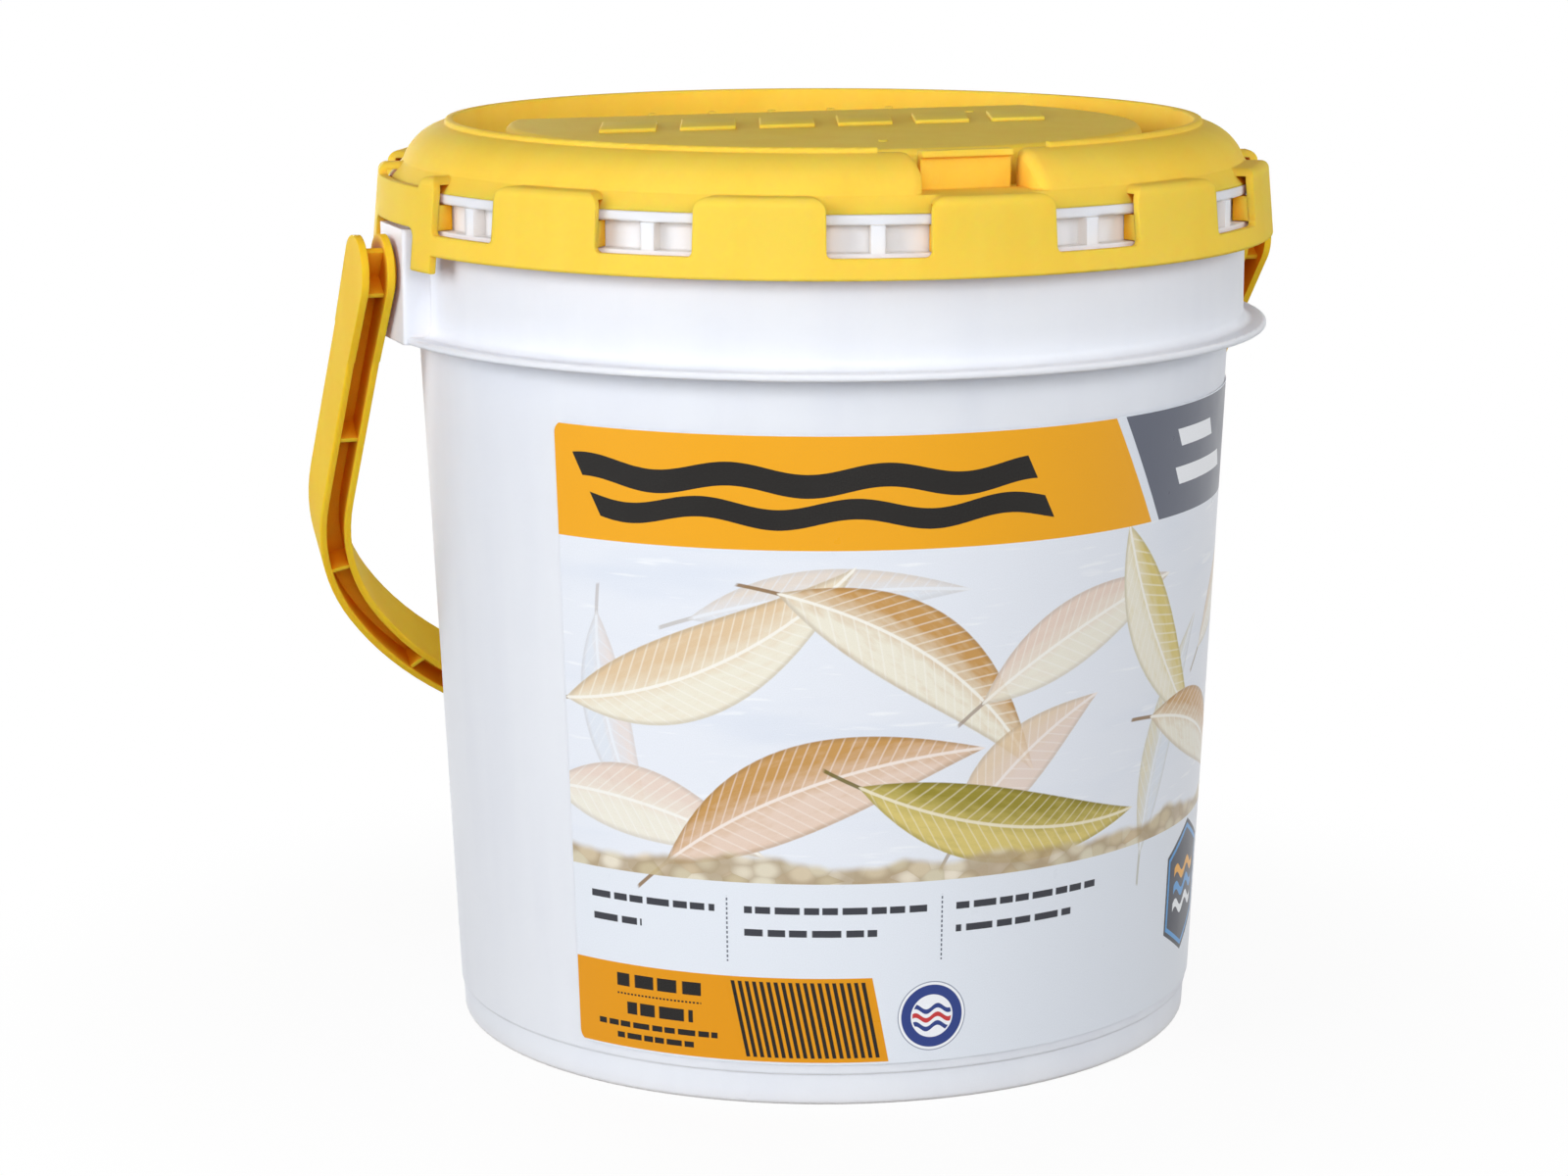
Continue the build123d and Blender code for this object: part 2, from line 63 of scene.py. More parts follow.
def srgb(red, green, blue):
    """Linear colour from the 0 to 255 numbers of a picture editor."""
    return (linear(red), linear(green), linear(blue), 1.0)


class Net:
    """Adds and joins the nodes of one node tree."""

    def __init__(self, tree):
        self.tree = tree
        self.tree.nodes.clear()

    def node(self, kind, **settings):
        """Adds a node and gives it its settings."""
        node = self.tree.nodes.new(kind)
        for key, value in settings.items():
            setattr(node, key, value)
        return node

    def feed(self, socket, value):
        """Joins a socket to another one, or gives it a plain value."""
        if isinstance(value, bpy.types.NodeSocket):
            self.tree.links.new(value, socket)
        else:
            socket.default_value = value

    def feed_all(self, sockets, values):
        """Feeds some sockets, in their order."""
        for socket, value in zip(sockets, values):
            self.feed(socket, value)

    def maths(self, operation, *values, clamp=False):
        """One sum on numbers."""
        node = self.node("ShaderNodeMath", operation=operation, use_clamp=clamp)
        self.feed_all(node.inputs, values)
        return node.outputs[0]

    def mix(self, share, first, second):
        """A colour that goes from the first to the second as share goes from 0 to 1."""
        node = self.node("ShaderNodeMix", data_type="RGBA")
        self.feed_all((node.inputs[0], node.inputs[6], node.inputs[7]), (share, first, second))
        return node.outputs[2]

    def ramp(self, value, low, high, start=0.0, end=1.0):
        """A number mapped smoothly from one range to another, and held at the ends."""
        node = self.node("ShaderNodeMapRange", interpolation_type="SMOOTHSTEP")
        self.feed_all(node.inputs, (value, low, high, start, end))
        return node.outputs[0]

    def moved(self, place, scale=(1, 1, 1), turn=(0, 0, 0)):
        """Coordinates that are turned and stretched."""
        node = self.node("ShaderNodeMapping")
        self.feed_all(node.inputs, (place, (0, 0, 0), turn, scale))
        return node.outputs[0]

    def noise(self, place, scale, detail=2.0):
        """Soft random clouds, from 0 to 1, with this many to each unit of the place."""
        node = self.node("ShaderNodeTexNoise")
        self.feed(node.inputs["Vector"], place)
        self.feed(node.inputs["Scale"], scale)
        self.feed(node.inputs["Detail"], detail)
        return node.outputs[0]

    def parts(self, vector):
        """The three numbers of a vector."""
        node = self.node("ShaderNodeSeparateXYZ")
        self.feed(node.inputs[0], vector)
        return node.outputs

    def seen(self):
        """1 for rays that reach the camera straight, by a mirror or through glass."""
        rays = self.node("ShaderNodeLightPath").outputs
        either = self.maths("MAXIMUM", rays["Is Camera Ray"], rays["Is Glossy Ray"])
        return self.maths("MAXIMUM", either, rays["Is Transmission Ray"])


class Paint(Net):
    """The nodes of one material, round its main shader."""

    def __init__(self, name):
        self.material = bpy.data.materials.new(name)
        self.material.use_nodes = True
        super().__init__(self.material.node_tree)
        self.shader = self.node("ShaderNodeBsdfPrincipled")
        self.output = self.node("ShaderNodeOutputMaterial")
        self.feed(self.output.inputs["Surface"], self.shader.outputs[0])

    def set(self, **values):
        """Feeds the main shader's sockets, whose names have spaces for the underscores."""
        for name, value in values.items():
            self.feed(self.shader.inputs[name.replace("_", " ")], value)

    def bump(self, strength, distance, height):
        """Dents in the shaded surface."""
        node = self.node("ShaderNodeBump")
        self.feed(node.inputs["Strength"], strength)
        self.feed(node.inputs["Distance"], distance)
        self.feed(node.inputs["Height"], height)
        return node


print("white as linear light", [round(v, 3) for v in srgb(240, 242, 247)])

# %% [markdown]
# ## Moulded plastic
# Pail, lid and bail are injection moulded. Such plastic has a fine satin grain, a colour
# that clouds a little with the melt's flow, corners that are never quite sharp, and light
# that sinks a few millimetres in. The corners could be cut in the mesh, but the Bevel node
# rounds every edge of a solid while it is shaded, and leaves the solid as it is. In a deep
# hollow the light bounces from plastic to plastic and takes on more of its colour each
# time. Some bounces are traced, but few, so the Ambient Occlusion node finds the hollows
# and a deeper tone stands in for the rest.


# %% The plastic's recipe
def moulded(name, main, deep, hollow, roughness, gloss, sink, edge):
    """A satin plastic that clouds from main to deep.

    hollow is the painted shade in its hollows: the deeper tone painted there, how far off a
    wall still closes them in, and the open share from which a place has its plain colour.
    sink is how much light enters the plastic, and how far each colour of it goes. edge is
    the radius of the corners.
    """
    paint = Paint(name)
    place = paint.node("ShaderNodeTexCoord").outputs["Object"]
    # Colour, with painted shade mixed in where the hollows are
    clouds = paint.noise(place, 14, 3)
    flow = paint.noise(paint.moved(place, (60, 60, 9)), 1, 3)
    melt = paint.maths("MULTIPLY_ADD", flow, 0.5, paint.maths("MULTIPLY", clouds, 0.5))
    colour = paint.mix(paint.ramp(melt, 0.36, 0.66), main, deep)
    # Painted shade: where the Ambient Occlusion node finds a hollow, the colour turns to a deeper
    # tone that stands in for light bounced between walls.
    tone, reach, open_enough = hollow
    openness = paint.node("ShaderNodeAmbientOcclusion", samples=8)
    paint.feed(openness.inputs["Distance"], reach)
    painted_shade_share = paint.ramp(openness.outputs["AO"], 0.1, open_enough, 1.0, 0.0)
    paint.set(Base_Color=paint.mix(painted_shade_share, colour, tone))
    # Sheen, duller where scuffs have worn it
    scuffs = paint.noise(paint.moved(place, (900, 120, 160), (0.4, 0.9, 0.3)), 1, 4)
    worn = paint.ramp(scuffs, 0.66, 0.78)
    dull = paint.maths("MULTIPLY_ADD", clouds, 0.14, roughness - 0.07)
    paint.set(Roughness=paint.maths("MULTIPLY_ADD", worn, 0.1, dull))
    paint.set(IOR=1.49, Specular_IOR_Level=gloss)
    paint.set(Subsurface_Weight=sink[0], Subsurface_Radius=sink[1], Subsurface_Scale=5 * MM)
    # Grain, ripples and rounded corners
    grain = paint.noise(place, 1700, 2)
    ripple = paint.noise(place, 55, 2)
    height = paint.maths("MULTIPLY_ADD", ripple, 6.0, grain)
    height = paint.maths("MULTIPLY_ADD", worn, -0.6, height)
    corners = paint.node("ShaderNodeBevel", samples=6)
    paint.feed(corners.inputs["Radius"], edge)
    bump = paint.bump(0.35, 0.04 * MM, height)
    paint.feed(bump.inputs["Normal"], corners.outputs[0])
    paint.set(Normal=bump.outputs[0])
    return paint


# %% [markdown]
# ## The three plastics
# The pail's white leans a little to blue, and light spreads evenly in it. The lid and the
# bail share one pigment, a warm yellow that turns orange where light bounces twice or
# passes through a thin edge. That is why its light sinks deepest in red.

# %% Finishes of pail, lid and bail
# The third argument of each is its painted shade for hollows: a warm grey on the pail, and a deep
# orange on the lid and the bail.
white = moulded(
    "pail_white", srgb(235, 240, 251), srgb(230, 235, 247), (srgb(233, 230, 228), 14 * MM, 0.75),
    0.42, 0.2, (0.5, (1, 1, 1)), 0.7 * MM,
)
lid_yellow = moulded(
    "lid_yellow", srgb(255, 211, 85), srgb(252, 204, 76), (srgb(232, 140, 8), 16 * MM, 0.52),
    0.55, 0.008, (0.55, (1, 0.5, 0.12)), 0.8 * MM,
)
bail_yellow = moulded(
    "bail_yellow", srgb(255, 203, 54), srgb(252, 195, 44), (srgb(214, 116, 2), 26 * MM, 0.66),
    0.5, 0.02, (0.55, (1, 0.45, 0.1)), 0.6 * MM,
)
for node, paint in (("bucket", white), ("lid", lid_yellow), ("bail", bail_yellow)):
    solids[node].data.materials.clear()
    solids[node].data.materials.append(paint.material)
    print(node, len(solids[node].data.polygons), "triangles,", paint.material.name)

# %% [markdown]
# ## The label's sheet
# The label is a thin film that was printed flat and then wrapped round the pail. So it is
# made in that order here: a flat rectangle gets rounded corners, is cut into upright
# strips, gets its UV map while it is still flat, and is bent round the pail last. The radii
# come from the solid label, so the film lies exactly where that one lies.

# %% Measure the solid label
label_points = [vertex.co for vertex in solids["wrap_label"].data.vertices]
bottom = min(p.z for p in label_points)
top = max(p.z for p in label_points)


def outer_radius_near(height):
    """The label's largest radius close to a height."""
    return max(hypot(p.x, p.y) for p in label_points if abs(p.z - height) < 4 * MM)


turns = [degrees(atan2(p.x, -p.y)) for p in label_points]
first_turn, last_turn = radians(min(turns)), radians(max(turns))
bottom_radius, top_radius = outer_radius_near(bottom), outer_radius_near(top)
middle_radius = (bottom_radius + top_radius) / 2
sheet_width = (last_turn - first_turn) * middle_radius
sheet_height = top - bottom
film = 0.25 * MM
print("label", round(sheet_width, 4), "by", round(sheet_height, 4))
print("radii", round(bottom_radius, 5), round(top_radius, 5))


# %% Cut, map and bend the sheet
def finished(name, bm, paint, body):
    """Turns a bmesh into an object with a material that rides on a body."""
    mesh = bpy.data.meshes.new(name)
    bm.to_mesh(mesh)
    bm.free()
    for polygon in mesh.polygons:
        polygon.use_smooth = True
    mesh.set_sharp_from_angle(angle=radians(35))
    mesh.materials.append(paint.material)
    piece = bpy.data.objects.new(name, mesh)
    bpy.context.scene.collection.objects.link(piece)
    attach(piece, body)
    print(name, len(mesh.polygons), "faces")
    return piece


def cut(bm, point, normal):
    """Cuts every face along a plane and keeps both sides."""
    geometry = bm.verts[:] + bm.edges[:] + bm.faces[:]
    bmesh.ops.bisect_plane(bm, geom=geometry, plane_co=point, plane_no=normal)


corner_radius, strips = 3 * MM, 90
sheet = bmesh.new()
bmesh.ops.create_grid(sheet, x_segments=1, y_segments=1, size=0.5)
sheet_size = Matrix.Diagonal((sheet_width, sheet_height, 1, 1))
bmesh.ops.transform(sheet, matrix=sheet_size, verts=sheet.verts)
corners = {"geom": sheet.verts[:], "offset": corner_radius, "affect": "VERTICES"}
bmesh.ops.bevel(sheet, **corners, segments=6, profile=0.5, material=-1)
for strip in range(1, strips):
    cut(sheet, ((strip / strips - 0.5) * sheet_width, 0, 0), (1, 0, 0))
flat_print = sheet.loops.layers.uv.new("flat_print")
for face in sheet.faces:
    for loop in face.loops:
        x, y = loop.vert.co.x, loop.vert.co.y
        loop[flat_print].uv = (x / sheet_width + 0.5, y / sheet_height + 0.5)
for vert in sheet.verts:
    across, up = vert.co.x / sheet_width + 0.5, vert.co.y / sheet_height + 0.5
    turn = first_turn + across * (last_turn - first_turn)
    radius = bottom_radius + up * (top_radius - bottom_radius)
    vert.co = Vector((radius * sin(turn), -radius * cos(turn), bottom + up * sheet_height))
bmesh.ops.recalc_face_normals(sheet, faces=sheet.faces[:])
if sheet.faces[0].normal.dot(sheet.faces[0].calc_center_median()) < 0:
    bmesh.ops.reverse_faces(sheet, faces=sheet.faces[:])
bmesh.ops.solidify(sheet, geom=sheet.faces[:], thickness=film)
radii = [hypot(v.co.x, v.co.y) for v in sheet.verts]
print("film radii", round(min(radii), 5), round(max(radii), 5))
print("open edges", sum(edge.is_boundary for edge in sheet.edges))

# %% [markdown]
# ## Printing with nodes
# Nothing here is a picture file. The UV map is stretched to real millimetres, across from
# the label's left edge and up from the table, and every printed shape is a sum on those two
# numbers: 1 inside the shape, 0 outside, and a soft step of a tenth of a millimetre between
# them, as ink has. Each shape then lays its colour over the ones before it.


# %% Millimetres on the label
class Print(Paint):
    """A material whose shapes are placed in millimetres on the flat label."""

    def __init__(self, name):
        super().__init__(name)
        uv = self.node("ShaderNodeUVMap", uv_map="flat_print").outputs[0]
        stretch = (sheet_width / MM, sheet_height / MM, 1)
        sized = self.node("ShaderNodeMapping")
        self.feed_all(sized.inputs, (uv, (0, bottom / MM, 0), (0, 0, 0), stretch))
        self.place = sized.outputs[0]
        self.across, self.up, _ = self.parts(self.place)
        self.ink = srgb(226, 232, 241)

    def between(self, value, low, high, soft=0.12):
        """1 where a number lies between two limits."""
        off = self.maths("ABSOLUTE", self.maths("SUBTRACT", value, (low + high) / 2))
        return self.maths("MULTIPLY_ADD", off, -1 / soft, (high - low) / 2 / soft + 0.5, clamp=True)

    def all_of(self, *masks):
        """Where every mask is 1."""
        result = masks[0]
        for mask in masks[1:]:
            result = self.maths("MULTIPLY", result, mask)
        return result

    def slanted(self, slope):
        """The place across, for edges that lean by this much for each millimetre up."""
        return self.maths("MULTIPLY_ADD", self.up, slope, self.across)

    def box(self, left, right, low, high, slope=0.0):
        """A box, whose upright sides may lean."""
        side = self.slanted(slope) if slope else self.across
        return self.all_of(self.between(side, left, right), self.between(self.up, low, high))

    def saw(self, value, pitch):
        """A number that climbs from 0 to 1 over each pitch."""
        return self.maths("FRACT", self.maths("DIVIDE", value, pitch))

    def dots(self, value, pitch):
        """Dots in a row, with this pitch."""
        return self.between(self.saw(value, pitch), 0.2, 0.8, 0.1)

    def lay(self, mask, colour):
        """Prints a colour over what is there."""
        self.ink = self.mix(mask, self.ink, colour)


art = Print("label_print")
print("print area in millimetres", round(sheet_width / MM, 1), "by", round(sheet_height / MM, 1))

# %% [markdown]
# ## The picture
# The middle of the label shows pale water with willow leaves that drift in it. One leaf is
# a bent lens: its half width shrinks to nothing at both tips, a midrib runs along its
# middle, and veins lean away from it. A Mapping node of the Texture type puts a leaf at
# its own place and turn, so the same few sums draw all of them.

# %% Water
picture_low, picture_high = 61.3, 150.2
water = art.between(art.up, picture_low, picture_high)
art.lay(water, srgb(229, 234, 243))
ripples = art.noise(art.moved(art.place, (0.012, 0.055, 1)), 1, 3)
glints = art.noise(art.moved(art.place, (0.05, 0.4, 1)), 1, 2)
art.lay(art.all_of(water, art.ramp(ripples, 0.5, 0.72, 0.0, 0.45)), srgb(212, 221, 236))
art.lay(art.all_of(water, art.ramp(glints, 0.6, 0.72, 0.0, 0.55)), srgb(246, 249, 253))


# %% One leaf
def leaf(x, y, turn, length, width, bend, back, belly, solid=1.0):
    """A drifting leaf, placed by its middle, with its two halves in two colours."""
    own = art.node("ShaderNodeMapping", vector_type="TEXTURE")
    art.feed_all(own.inputs, (art.place, (x, y, 0), (0, 0, radians(turn)), (1, 1, 1)))
    lengthwise, sideways, _ = art.parts(own.outputs[0])
    # The outline: along goes from -1 to 1 from stem to tip, away is the way from the midrib
    along = art.maths("DIVIDE", lengthwise, length / 2)
    square = art.maths("MULTIPLY", along, along)
    side = art.maths("MULTIPLY_ADD", square, bend, sideways)
    away = art.maths("ABSOLUTE", side)
    swell = art.maths("MULTIPLY_ADD", along, -0.3, 1.0)
    reach = art.maths("MULTIPLY", art.maths("MULTIPLY_ADD", square, -width / 2, width / 2), swell)
    margin = art.maths("SUBTRACT", reach, away)
    inside = art.maths("MULTIPLY_ADD", margin, 3.0, 0.5, clamp=True)
    inside = art.maths("MULTIPLY", inside, art.maths("LESS_THAN", square, 1.0))
    # The marks: a mottled upper half, leaning veins, the midrib, a darker rim and a stem
    upper = art.maths("MULTIPLY_ADD", side, 2.4 / width, 0.35, clamp=True)
    mottle = art.noise(art.moved(own.outputs[0], (0.16, 0.5, 1)), 1, 4)
    tone = art.maths("MULTIPLY_ADD", mottle, 0.9, art.maths("SUBTRACT", upper, 0.45), clamp=True)
    veins = art.maths("PINGPONG", art.maths("MULTIPLY_ADD", away, -0.9, lengthwise), 1.7)
    veins = art.ramp(veins, 0.0, 0.5, 0.5, 0.0)
    rib = art.ramp(away, 0.25, 0.6, 0.9, 0.0)
    rim = art.ramp(margin, 0.2, 1.6, 0.35, 0.0)
    stem = art.between(along, -1.22, -0.96, 0.02)
    stem = art.all_of(stem, art.ramp(away, 0.35, 0.7, 0.9, 0.0))
    dark = tuple(0.45 * v for v in back[:3]) + (1.0,)
    pale = tuple(0.5 + 0.5 * v for v in belly[:3]) + (1.0,)
    colour = art.mix(tone, belly, back)
    colour = art.mix(veins, colour, pale)
    colour = art.mix(rim, colour, dark)
    colour = art.mix(rib, colour, pale)
    art.lay(art.maths("MULTIPLY", stem, solid), dark)
    art.lay(art.maths("MULTIPLY", inside, solid), colour)


# %% The drift of leaves
tan, sand, cream = srgb(196, 150, 88), srgb(222, 196, 160), srgb(236, 232, 216)
olive, straw, blush = srgb(150, 138, 52), srgb(214, 196, 120), srgb(228, 206, 190)
water_tone = srgb(214, 222, 232)
leaf(74, 139, 6, 74, 13, 4, sand, water_tone, 0.5)
leaf(182, 92, 66, 70, 14, 6, straw, water_tone, 0.5)
leaf(14, 100, -76, 62, 14, -5, blush, water_tone, 0.5)
leaf(236, 128, 24, 70, 16, 5, sand, cream, 0.8)
leaf(44, 119, 26, 90, 23, -8, sand, cream)
leaf(101, 121, -36, 86, 22, 9, tan, cream)
leaf(146, 126, 22, 72, 18, 5, blush, cream, 0.9)
leaf(26, 80, -12, 66, 19, 5, blush, cream, 0.85)
leaf(70, 88, 20, 92, 23, 8, tan, blush)
leaf(177, 116, -56, 76, 19, -6, straw, cream)
leaf(126, 92, 40, 58, 17, 5, sand, blush, 0.8)
leaf(124, 74, -10, 88, 20, -6, olive, straw)
leaf(212, 86, -24, 76, 19, 6, tan, cream)
leaf(268, 98, 46, 80, 20, 6, olive, straw)
print("nodes in the print so far", len(art.tree.nodes))

# %% [markdown]
# ## The pebble bed
# Pebbles are what a Voronoi texture gives: each point belongs to its nearest centre. The
# distance to that centre shades the pebble, and its random colour picks a tone. The bed's
# upper edge follows a slow wave.

# %% Pebbles at the picture's foot
stones = art.node("ShaderNodeTexVoronoi")
art.feed(stones.inputs["Vector"], art.moved(art.place, (0.16, 0.24, 1)))
art.feed(stones.inputs["Scale"], 1.0)
pick = art.node("ShaderNodeSeparateColor")
art.feed(pick.inputs[0], stones.outputs["Color"])
stone = art.mix(pick.outputs[0], srgb(238, 230, 212), srgb(204, 180, 142))
stone = art.mix(art.maths("MULTIPLY", pick.outputs[1], 0.5), stone, srgb(186, 180, 142))
seams = art.ramp(stones.outputs["Distance"], 0.3, 0.75, 0.0, 0.7)
stone = art.mix(seams, stone, srgb(158, 134, 96))
wave = art.noise(art.moved(art.place, (0.03, 0, 1)), 1, 3)
shore = art.maths("MULTIPLY_ADD", wave, 16, 60)
bed = art.maths("SUBTRACT", shore, art.up)
art.lay(art.all_of(water, art.ramp(bed, 0.0, 2.6, 0.0, 0.92)), stone)

# %% [markdown]
# ## Bands, bars and rules
# The rest of the print is flat colour: an orange band with a slanted end, a grey panel, a
# second orange panel with slanted bars, and plain rules where a label carries its words.

# %% Bands
orange, lower_orange, black = srgb(238, 168, 30), srgb(224, 150, 20), srgb(26, 24, 23)
grey, paper = srgb(98, 103, 117), srgb(240, 243, 248)
band_low, band_high, band_lean, foot_lean = picture_high, 179.9, 0.555, 0.2
for left, right, colour in ((-5, 253.5, orange), (257.0, 337.5, grey), (341.0, 500, orange)):
    art.lay(art.box(left, right, band_low, band_high, band_lean), colour)
art.lay(art.box(-5, 92.9, 12.2, 35.5, foot_lean), lower_orange)

# %% Two black waves
for level, size, shift in ((168.4, 6.2, 0.0), (159.6, 5.4, 1.2)):
    wave = art.maths("SINE", art.maths("MULTIPLY_ADD", art.across, 0.16, shift))
    height = art.maths("MULTIPLY_ADD", wave, -1.5, art.up)
    ribbon = art.between(height, level - size / 2, level + size / 2)
    art.lay(art.all_of(ribbon, art.between(art.slanted(0.5), 92, 212)), black)

# %% Slanted bars
bars_left, bars_right, bar_pitch = 54.2, 91.0, 1.968
lean = art.slanted(foot_lean)
bar = art.saw(art.maths("SUBTRACT", lean, bars_left), bar_pitch)
panel_part = art.all_of(art.between(lean, bars_left, bars_right), art.between(art.up, 13.4, 34.3))
art.lay(art.all_of(art.between(bar, 0.0, 0.56, 0.1), panel_part), black)


# %% Rules in place of words
def rules(left, right, low, high, colour, word=6.0):
    """A row of dashes, as long as words are."""
    drift = art.maths("SINE", art.maths("MULTIPLY", art.across, 2.1 / word))
    run = art.maths("MULTIPLY_ADD", drift, 0.16, art.maths("DIVIDE", art.across, word))
    dash = art.between(art.maths("FRACT", run), 0.09, 0.91, 0.04)
    art.lay(art.all_of(art.box(left, right, low, high), dash), colour)


soft_black, row_height, dot_width = srgb(58, 60, 68), 1.9, 0.44
first_row, second_row = 53.0, 46.8
for left, first_end, second_end in ((6.2, 43.3, 22.0), (51.4, 100.5, 87.0), (108.7, 153.7, 145.0)):
    rules(left, first_end, first_row, first_row + row_height, soft_black)
    rules(left, second_end, second_row, second_row + row_height, soft_black, 7.0)
for column in (46.7, 104.7):
    line = art.box(column - dot_width / 2, column + dot_width / 2, 39.5, 57.5)
    art.lay(art.all_of(line, art.dots(art.up, 1.3)), grey)
art.lay(art.all_of(art.box(13.5, 39.0, 26.9, 27.4), art.dots(art.across, 1.1)), black)
for left, right, low, high, word in (
    (13.5, 39.0, 29.2, 32.8, 8.5),
    (16.5, 36.5, 21.6, 25.0, 6.7),
    (7.0, 43.5, 17.8, 19.4, 4.6),
    (13.0, 37.0, 14.6, 16.2, 4.1),
):
    rules(left, right, low, high, black, word)
for left, right, low, high in ((277.5, 300.0, 168.8, 173.6), (271.5, 306.0, 158.4, 163.2)):
    art.lay(art.box(left, right, low, high, band_lean), paper)

# %% [markdown]
# ## A round emblem and a six-sided badge
# Both are plain signs for water. A ring is a range of distances from a centre, and a
# six-sided shape is where two sums of the distances across and up both stay small.


# %% Emblem and badge
def wave_band(x, y, height, size, pace):
    """A wavy line through a place."""
    wave = art.maths("SINE", art.maths("MULTIPLY", art.maths("SUBTRACT", art.across, x), pace))
    line = art.maths("MULTIPLY_ADD", wave, -size * 0.6, art.up)
    return art.between(line, y + height - size / 2, y + height + size / 2)


def distance_from(x, y):
    """Distances across, up and straight from a place."""
    across = art.maths("ABSOLUTE", art.maths("SUBTRACT", art.across, x))
    up = art.maths("ABSOLUTE", art.maths("SUBTRACT", art.up, y))
    square = art.maths("MULTIPLY_ADD", across, across, art.maths("MULTIPLY", up, up))
    return across, up, art.maths("SQRT", square)


navy, red, light_blue = srgb(48, 66, 132), srgb(196, 60, 62), srgb(70, 150, 214)
emblem_place, badge_place = (102.4, 24.1), (207.3, 41.5)
_, _, emblem = distance_from(*emblem_place)
for radius, colour in ((9.6, srgb(150, 158, 176)), (9.3, paper), (8.6, navy), (5.9, paper)):
    art.lay(art.between(emblem, -radius, radius), colour)
disc = art.between(emblem, -5.5, 5.5)
for height, colour in ((2.0, navy), (-0.4, red), (-2.8, navy)):
    art.lay(art.all_of(disc, wave_band(*emblem_place, height, 1.3, 1.0)), colour)

badge_half, badge_point, badge_inside = 16, 19, 10
wide, tall, _ = distance_from(*badge_place)
corner = art.maths("MULTIPLY_ADD", wide, 0.5, tall)
for size, colour in ((1.0, srgb(22, 28, 44)), (0.93, light_blue), (0.86, srgb(26, 34, 54))):
    sides = art.between(wide, -badge_half * size, badge_half * size)
    points = art.between(corner, -badge_point * size, badge_point * size)
    art.lay(art.all_of(sides, points), colour)
middle = art.between(wide, -badge_inside, badge_inside)
for height, colour in ((5.0, orange), (0.0, light_blue), (-5.0, paper)):
    art.lay(art.all_of(middle, wave_band(*badge_place, height, 2.4, 0.6)), colour)
print("nodes in the print", len(art.tree.nodes))

# %% [markdown]
# ## The film over the ink
# A clear film covers the print, so the label shines more than the pail. It has tiny dents
# where the pail's skin shows through, and its colour varies a little with the ink's dots.

# %% Label finish
ink_dots = art.noise(art.place, 3.2, 2)
ink = art.mix(art.ramp(ink_dots, 0.3, 0.7, 0.0, 0.05), art.ink, srgb(120, 116, 110))
dents = art.noise(art.place, 0.11, 3)
skin = art.noise(art.place, 1.1, 2)
height = art.maths("MULTIPLY_ADD", dents, 3.0, skin)
art.set(Base_Color=ink, Roughness=art.maths("MULTIPLY_ADD", dents, 0.12, 0.24))
art.set(IOR=1.5, Specular_IOR_Level=0.2, Normal=art.bump(0.25, 0.05 * MM, height).outputs[0])
wrap_film = finished("wrap_film", sheet, art, "bucket")
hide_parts("wrap_label")

# %% [markdown]
# ## Raised marks on the lid
# The lid's middle carries raised shapes, here six plain slanted bars. One bar is a box that
# is sheared and has every edge bevelled but the four round its foot. The three small round
# pips are where the plastic entered the mould.

# %% Slanted bars on the middle
middle_top = 250 * MM
bar_tall, bar_sunk, bar_slant, bar_round = 1.1 * MM, 0.1 * MM, 0.35, 0.3 * MM
bar_near, bar_far, bar_width = -14 * MM, 11 * MM, 16 * MM
bar_first, bar_step, bar_count = -57 * MM, 22.8 * MM, 6


def stays_sharp(edge):
    """True for the four edges round a bar's foot."""
    return max(vert.co.z for vert in edge.verts) < middle_top


def raised_bar(bm, x):
    """Adds a low slanted bar that stands on the lid's middle."""
    box = bmesh.ops.create_cube(bm, size=1)["verts"]
    bmesh.ops.scale(bm, vec=(bar_width, bar_far - bar_near, bar_tall), verts=box)
    slant = Matrix.Identity(4)
    slant[0][1] = bar_slant
    bmesh.ops.transform(bm, matrix=slant, verts=box)
    place = (x, (bar_near + bar_far) / 2, middle_top + bar_tall / 2 - bar_sunk)
    bmesh.ops.translate(bm, vec=place, verts=box)
    edges = {edge for vert in box for edge in vert.link_edges}
    rounded = {"geom": [edge for edge in edges if not stays_sharp(edge)], "affect": "EDGES"}
    bmesh.ops.bevel(bm, **rounded, offset=bar_round, segments=3, profile=0.5, material=-1)


bars = bmesh.new()
for number in range(bar_count):
    raised_bar(bars, bar_first + bar_step * number)
finished("raised_bars", bars, lid_yellow, "lid")

# %% Pips
pip = {"segments": 24, "radius1": 1.6 * MM, "radius2": 1.2 * MM, "depth": 0.8 * MM}
pips = bmesh.new()
for x, y in ((-7.1, -63.4), (52.0, 20.0), (-52.0, 20.0)):
    place = Matrix.Translation((x * MM, y * MM, middle_top))
    bmesh.ops.create_cone(pips, cap_ends=True, matrix=place, **pip)
finished("moulding_pips", pips, lid_yellow, "lid")

# %% [markdown]
# ## Catch beads
# Under the pail's rim the lid's skirt has a thick bead that holds it down. It can be seen
# end on in every window, as a deep orange edge. A bead has to bend to pass the rim, which a
# rigid solid can't do, so the solids leave it out and only its two ends at each window are
# made here: small blocks between the skirt's inside and the pail's neck.

# %% Bead ends beside the windows
bead_low, bead_high = 227.2 * MM, 233.8 * MM  # just clear of the pail's ledge and rim
bead_inner, bead_outer = 117.1 * MM, 122.2 * MM  # from the pail's neck into the skirt's wall
window_half, bead_length = 13.3 * MM, 3.5 * MM
window_turns = [turn for first in (20, 200) for turn in (first, first + 28, first + 56)]


